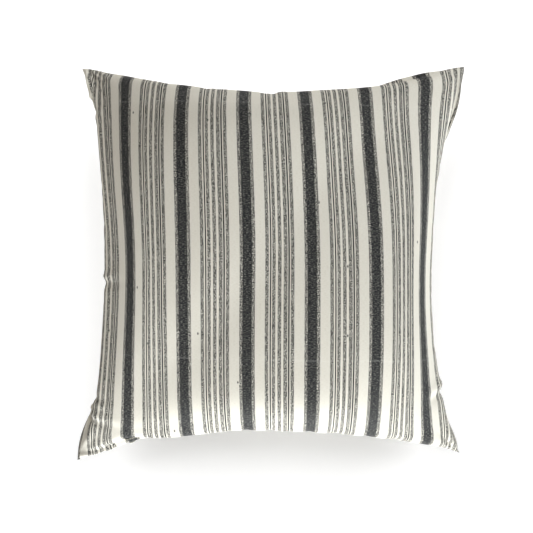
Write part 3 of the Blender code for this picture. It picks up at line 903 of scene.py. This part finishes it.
def lockstitch_growth():
    tree, w, given, out = growth("lockstitches", {"Stitch": 0.0026, "Gap": 0.0005, "Thread": 0.00022})
    pitch = w.plus(given["Stitch"], given["Gap"])
    points = points_along(w, given["Path"], pitch)
    grain = w.first("GeometryNodeMeshUVSphere", {"Segments": 7, "Rings": 5, "Radius": 1.0})
    ahead = w.first("GeometryNodeInputTangent")
    turn = w.first("FunctionNodeAlignRotationToVector", {"Vector": ahead}, axis="X")
    size = w.joined(w.times(given["Stitch"], 0.5), given["Thread"], given["Thread"])
    inputs = {"Points": points, "Instance": grain, "Rotation": turn, "Scale": size}
    sewn = w.first("GeometryNodeInstanceOnPoints", inputs)
    close_growth(w, given, out, sewn)
    return tree


COIL_STEPS = 8.0


def coil_growth():
    """A filament wound round the path: eight steps to a turn."""
    tree, w, given, out = growth("wound_coil", {"Pitch": 0.0012, "Radius": 0.0005, "Filament": 0.0002})
    points = points_along(w, given["Path"], w.math("DIVIDE", given["Pitch"], COIL_STEPS))
    angle = w.times(w.first("GeometryNodeInputIndex"), math.tau / COIL_STEPS)
    ahead = w.first("GeometryNodeInputTangent")
    beside = w.first("ShaderNodeVectorMath", {0: ahead, 1: (0, 0, 1)}, operation="CROSS_PRODUCT")
    swing = w.times(w.math("COSINE", angle), given["Radius"])
    sideways = w.first("ShaderNodeVectorMath", {0: beside, "Scale": swing}, operation="SCALE")
    upwards = w.joined(0.0, 0.0, w.times(w.math("SINE", angle), given["Radius"]))
    offset = w.first("ShaderNodeVectorMath", {0: sideways, 1: upwards}, operation="ADD")
    wound = w.first("GeometryNodeSetPosition", {"Geometry": points, "Offset": offset})
    ring_size = {"Resolution": 5, "Radius": given["Filament"]}
    ring = w.first("GeometryNodeCurvePrimitiveCircle", ring_size, mode="RADIUS")
    inputs = {"Curve": wound, "Profile Curve": ring, "Fill Caps": True}
    solid = w.first("GeometryNodeCurveToMesh", inputs)
    close_growth(w, given, out, solid)
    return tree


def grown_along(name, paths, tree, sizes, finish):
    """The group's result along each path, as one plain mesh."""
    points, edges = [], []
    for path in paths:
        start = len(points)
        points += path.tolist()
        edges += [(start + i, start + i + 1) for i in range(len(path) - 1)]
    mesh = bpy.data.meshes.new(name)
    mesh.from_pydata(points, edges, [])
    piece = link(bpy.data.objects.new(name, mesh))
    grow = piece.modifiers.new("grow", "NODES")
    grow.node_group = tree
    keys = {item.name: item.identifier for item in tree.interface.items_tree if item.in_out == "INPUT"}
    for label, value in sizes.items():
        grow[keys[label]] = value
    grow[keys["Finish"]] = finish
    return settled(piece)


# ---------------------------------------------------------------- seams and zip

ZIP_REACH = 0.190
ZIP_HALVES = {"upper": 1, "lower": -1}
STITCH_INSET = 0.55 * MM
CAST_EDGE = 0.14 * MM

# Across a tape from coil to woven edge, in mm: how far behind the seam, and how far from its middle
TAPE_PROFILE = [(4.15, 0.25), (4.2, 1.4), (4.3, 2.0), (4.5, 4.0), (4.9, 6.0), (5.4, 8.2), (5.5, 8.7)]


def seam_path(side, first, last, scale=1.0, inset=STITCH_INSET, count=260):
    """Points along a side of the seam, a little inside it."""
    shares = np.linspace(first, last, count)
    fixed = np.full(count, {"left": -1.0, "bottom": -1.0, "right": 1.0, "top": 1.0}[side])
    x, y = outline(fixed, shares) if side in ("left", "right") else outline(shares, fixed)
    step = np.gradient(np.stack([x, y], 1), axis=0)
    step /= np.linalg.norm(step, axis=1, keepdims=True)
    inward = np.stack([-step[:, 1], step[:, 0]], 1) * (-inset if side in ("left", "top") else inset)
    return np.stack([x * scale + inward[:, 0], y * scale + inward[:, 1], np.full(count, SEAM_Z)], 1)


def sewn_along(name, paths, tree, stitch, gap, finish):
    sizes = {"Stitch": stitch, "Gap": gap, "Thread": 0.2 * MM}
    return grown_along(name, paths, tree, sizes, finish)


def seam_stitches(tree, finish):
    """The cover's own seam: three whole sides, and the fourth beside the zip."""
    ends = 0.985
    near = (ZIP_REACH + 5 * MM) / HALF_WIDTH
    paths = [seam_path(side, -ends, ends) for side in ("left", "right", "top")]
    paths += [seam_path("bottom", -ends, -near, count=60), seam_path("bottom", near, ends, count=60)]
    return sewn_along("seam_stitches", paths, tree, 2.5 * MM, 0.6 * MM, finish)


def insert_stitches(tree, finish):
    scale = 1 - INSERT_MARGIN / HALF_WIDTH
    paths = [seam_path(side, -0.98, 0.98, scale) for side in SIDES]
    return sewn_along("insert_stitches", paths, tree, 3.0 * MM, 0.8 * MM, finish)


def arc_path(depth, height, count=200):
    """Points beside the bottom seam's own arc, behind it and above or below it."""
    radius = (HALF_WIDTH**2 + ZIP_PULL_IN**2) / (2 * ZIP_PULL_IN)
    centre = -HALF_HEIGHT + ZIP_PULL_IN - radius
    angles = np.linspace(-ZIP_REACH, ZIP_REACH, count) / radius
    x, y = (radius + depth) * np.sin(angles), centre + (radius + depth) * np.cos(angles)
    return np.stack([x, y, np.full(count, SEAM_Z + height)], 1)


def zip_coil(half, tree, finish):
    path = arc_path(2.9 * MM, ZIP_HALVES[half] * 0.85 * MM)
    sizes = {"Pitch": 1.25 * MM, "Radius": 0.5 * MM, "Filament": 0.2 * MM}
    return grown_along(f"zip_chain_{half}", [path], tree, sizes, finish)


def swept_strip(name, profile, thickness, finish, count=150):
    """A tape along the bottom seam's arc, from its (depth, height) points."""
    points = np.vstack([arc_path(depth, height, count) for depth, height in profile])
    lengths = np.linspace(-ZIP_REACH, ZIP_REACH, count)
    heights = np.cumsum([0.0] + [math.dist(a, b) for a, b in zip(profile, profile[1:])])
    uv = np.stack([np.tile(lengths, len(profile)), np.repeat(heights, count)], 1)
    piece = mesh_piece(name, points, grid_faces(len(profile) - 1, count - 1), uv, finish)
    return give_wall(piece, thickness, 0)


def zip_tape(half, finish):
    leant = [(depth * MM, ZIP_HALVES[half] * height * MM) for depth, height in TAPE_PROFILE]
    return swept_strip(f"zip_tape_{half}_woven", leant, 0.4 * MM, finish)


def zip_stitch_rows(tree, finish):
    paths = [arc_path(3.9 * MM, side * 6.2 * MM) for side in ZIP_HALVES.values()]
    return sewn_along("zip_stitches", paths, tree, 2.6 * MM, 0.6 * MM, finish)


@contextmanager
def reshaped(mesh):
    """The mesh opened for changes, and closed with its faces pointing out."""
    shape = bmesh.new()
    shape.from_mesh(mesh)
    yield shape
    bmesh.ops.recalc_face_normals(shape, faces=shape.faces)
    shape.to_mesh(mesh)
    shape.free()


def softened(name, node, rounding, finish, segments=2):
    """A CAD piece with its corners eased as casting and tumbling leave them."""
    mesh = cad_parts[node].data.copy()
    mesh.name = name
    mesh.materials.clear()
    mesh.materials.append(finish)
    with reshaped(mesh) as shape:
        bmesh.ops.remove_doubles(shape, verts=shape.verts, dist=1e-6)
        bmesh.ops.dissolve_limit(shape, angle_limit=math.radians(2), verts=shape.verts, edges=shape.edges)
    piece = link(bpy.data.objects.new(name, mesh))
    bevel = piece.modifiers.new("ease", "BEVEL")
    bevel.width = rounding
    bevel.segments = segments
    bevel.limit_method = "ANGLE"
    bevel.angle_limit = math.radians(35)
    bevel.use_clamp_overlap = True
    settled(piece)
    piece.data.shade_smooth()
    return piece


def rippled_tag(name, node, finish):
    """A woven ribbon tag with a slight wave and its edges eased."""
    piece = softened(name, node, 0.08 * MM, finish, 1)
    low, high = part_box(node)
    with reshaped(piece.data) as shape:
        long_edges = [edge for edge in shape.edges if edge.calc_length() > 8 * MM]
        bmesh.ops.subdivide_edges(shape, edges=long_edges, cuts=14, use_grid_fill=True)
        for vert in shape.verts:
            share = (vert.co.y - low.y) / (high.y - low.y)
            vert.co.z += 0.25 * MM * math.sin(share * 7.0 + 0.6)
    piece.data.shade_smooth()
    return piece


# ---------------------------------------------------------------- studio

LAMP_AIM = Vector((0, 0, 0.06))

# The lamps on the pillow: name, place, watts, colour, width
PILLOW_LAMPS = [
    ("low_key", (0.0, -1.5, 0.37), 45.0, (0.91, 0.96, 1.0), 0.8),
    ("top_fill", (0.7, 1.0, 1.9), 14.0, (1.0, 0.99, 0.97), 1.4),
    ("cool_side", (1.5, 0.35, 0.75), 19.0, (0.84, 0.92, 1.0), 1.0),
    ("warm_side", (-1.6, 0.5, 0.6), 1.2, (1.0, 0.88, 0.74), 0.8),
]


def studio_floor():
    plain = {"Specular IOR Level": 0.1, "Emission Color": (1, 1, 1, 1), "Emission Strength": 0.33}
    w = Finish("studio_floor", plain)
    place = w.own_place()
    colour = w.mix(w.noise(place, 6.0, 3.0), srgb(243, 243, 243), srgb(246, 246, 246))
    mat = w.done(colour, w.ramp(w.noise(place, 30.0), 0.0, 1.0, 0.8, 0.9))
    half = 4.0
    corners = [(-half, -half, 0), (half, -half, 0), (half, half, 0), (-half, half, 0)]
    floor = mesh_piece("studio_floor", corners, [(0, 1, 2, 3)], None, mat)
    floor.location.z = -0.2 * MM
    return floor


def lamp(name, kind, place, power, colour, size, receivers):
    """A lamp aimed at the pillow: a disk so many metres across, or a sun so many radians wide."""
    data = bpy.data.lights.new(name, kind)
    data.energy = power
    data.color = colour
    if kind == "SUN":
        data.angle = size
    else:
        data.shape = "DISK"
        data.size = size
    obj = link(bpy.data.objects.new(name, data))
    obj.location = place
    obj.rotation_euler = (LAMP_AIM - Vector(place)).to_track_quat("-Z", "Y").to_euler()
    obj.light_linking.receiver_collection = receivers


def studio_lights(floor, pieces):
    on_floor = bpy.data.collections.new("lit_floor")
    on_floor.objects.link(floor)
    on_pillow = bpy.data.collections.new("lit_pillow")
    for piece in pieces:
        on_pillow.objects.link(piece)
    for side in (-1, 1):
        lamp("floor_wash", "SUN", (side * 1.9, 2.1, 1.9), 2.2, (1, 1, 1), math.radians(42), on_floor)
    for name, place, power, colour, size in PILLOW_LAMPS:
        lamp(name, "AREA", place, power, colour, size, on_pillow)
    world = bpy.data.worlds.new("studio")
    world.use_nodes = True
    back = world.node_tree.nodes["Background"]
    back.inputs["Color"].default_value = (1.0, 1.0, 1.0, 1.0)
    back.inputs["Strength"].default_value = 0.26
    bpy.context.scene.world = world
    bpy.context.scene.view_settings.view_transform = "Standard"


SENSOR = 36
CAMERA_AWAY = 0.60
CAMERA_LEFT = math.radians(1.0)
FIELD = 0.6954
LOOK_AT = Vector((-0.0075, -0.0065, SEAM_Z))


def camera():
    data = bpy.data.cameras.new("camera")
    data.sensor_width = SENSOR
    data.lens = SENSOR * CAMERA_AWAY / FIELD
    data.clip_start, data.clip_end = 0.02, 30
    obj = link(bpy.data.objects.new("camera", data))
    back = Vector((-math.sin(CAMERA_LEFT), 0, math.cos(CAMERA_LEFT)))
    right = Vector((math.cos(CAMERA_LEFT), 0, math.sin(CAMERA_LEFT)))
    turn = Matrix((right, back.cross(right), back)).transposed()
    obj.matrix_world = Matrix.Translation(LOOK_AT + back * CAMERA_AWAY) @ turn.to_4x4()
    bpy.context.scene.camera = obj


# ---------------------------------------------------------------- the pillow

COVER_THREADS = [f"seam_thread_{name}" for name in ("left", "right", "top", "bottom_left", "bottom_right")]
INSERT_THREADS = ["insert_thread_left", "insert_thread_right", "insert_thread_top", "insert_closing_thread"]
ZIP_THREADS = ["zip_thread_upper", "zip_thread_lower"]


def place_piece(piece, slot, *nodes, body="cushion"):
    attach(piece, body)
    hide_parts(*nodes)
    return piece


def main():
    effects = {"weave": plain_weave_effect(), "marks": linen_marks_effect(), "pressed": pressed_line_effect()}
    linen = striped_linen(effects)
    cambric = (srgb(218, 217, 211), srgb(236, 235, 230))
    casing = plain_cloth("insert_casing_cambric", effects, cambric, 3200.0, 3000.0, 0.0002)
    twill = (srgb(184, 177, 161), srgb(206, 199, 183))
    tape = plain_cloth("zip_tape_twill", effects, twill, 2600.0, 1800.0, 0.0003)
    satin = (srgb(222, 219, 212), srgb(238, 236, 230))
    ribbon = plain_cloth("tag_satin_ribbon", effects, satin, 4200.0, 3600.0, 0.0001, on_cloth=False)
    thread = spun_thread("cream_thread", (srgb(190, 183, 168), srgb(214, 208, 194)))
    metal = enamelled_zinc()
    skins = blown_skins()
    skins = [eased(skins[0], FRONT_LEANS), eased(skins[1], BACK_LEANS)]
    front = cover_panel("cover_front", finished_skin(skins[0], 1, FRONT_FOLDS, 300), 1, linen)
    back = cover_panel("cover_back", finished_skin(skins[1], -1, BACK_FOLDS, 340), -1, linen)
    stitches, coil, nylon = lockstitch_growth(), coil_growth(), nylon_coil()
    pieces = [
        place_piece(front, "cover_fabric", "front_panel"),
        place_piece(back, "cover_fabric", "back_panel"),
        place_piece(seam_stitches(stitches, thread), "sewing_thread", *COVER_THREADS),
        place_piece(insert_stitches(stitches, thread), "sewing_thread", *INSERT_THREADS),
        place_piece(zip_stitch_rows(stitches, thread), "sewing_thread", *ZIP_THREADS),
    ]
    for face, skin, side in (("front", skins[0], 1), ("back", skins[1], -1)):
        case = insert_casing(f"insert_{face}", skin, side, casing)
        pieces.append(place_piece(case, "insert_casing", f"insert_{face}_casing"))
    pieces.append(place_piece(insert_fill(skins, lofty_fibre()), "fibre_fill", "insert_fill"))
    for owner in ("care", "insert"):
        tag = rippled_tag(f"{owner}_ribbon", f"{owner}_tag", ribbon)
        pieces.append(place_piece(tag, "tag_ribbon", f"{owner}_tag"))
    for half in ZIP_HALVES:
        pieces.append(place_piece(zip_coil(half, coil, nylon), "zip_coil", f"zip_coil_{half}"))
    for half in ZIP_HALVES:
        pieces.append(place_piece(zip_tape(half, tape), "zip_tape", f"zip_tape_{half}"))
    for end in ("left", "right"):
        tack = softened(f"bar_tack_{end}", f"zip_tack_{end}", 0.3 * MM, thread)
        pieces.append(place_piece(tack, "sewing_thread", f"zip_tack_{end}"))
    for name, body in (("slider_saddle", "slider"), ("pull_tab", "pull")):
        casting = softened(name, f"zip_{body}", CAST_EDGE, metal)
        pieces.append(place_piece(casting, "zip_metal", f"zip_{body}", body=body))
    studio_lights(studio_floor(), pieces)
    camera()


main()
bpy.context.view_layer.update()
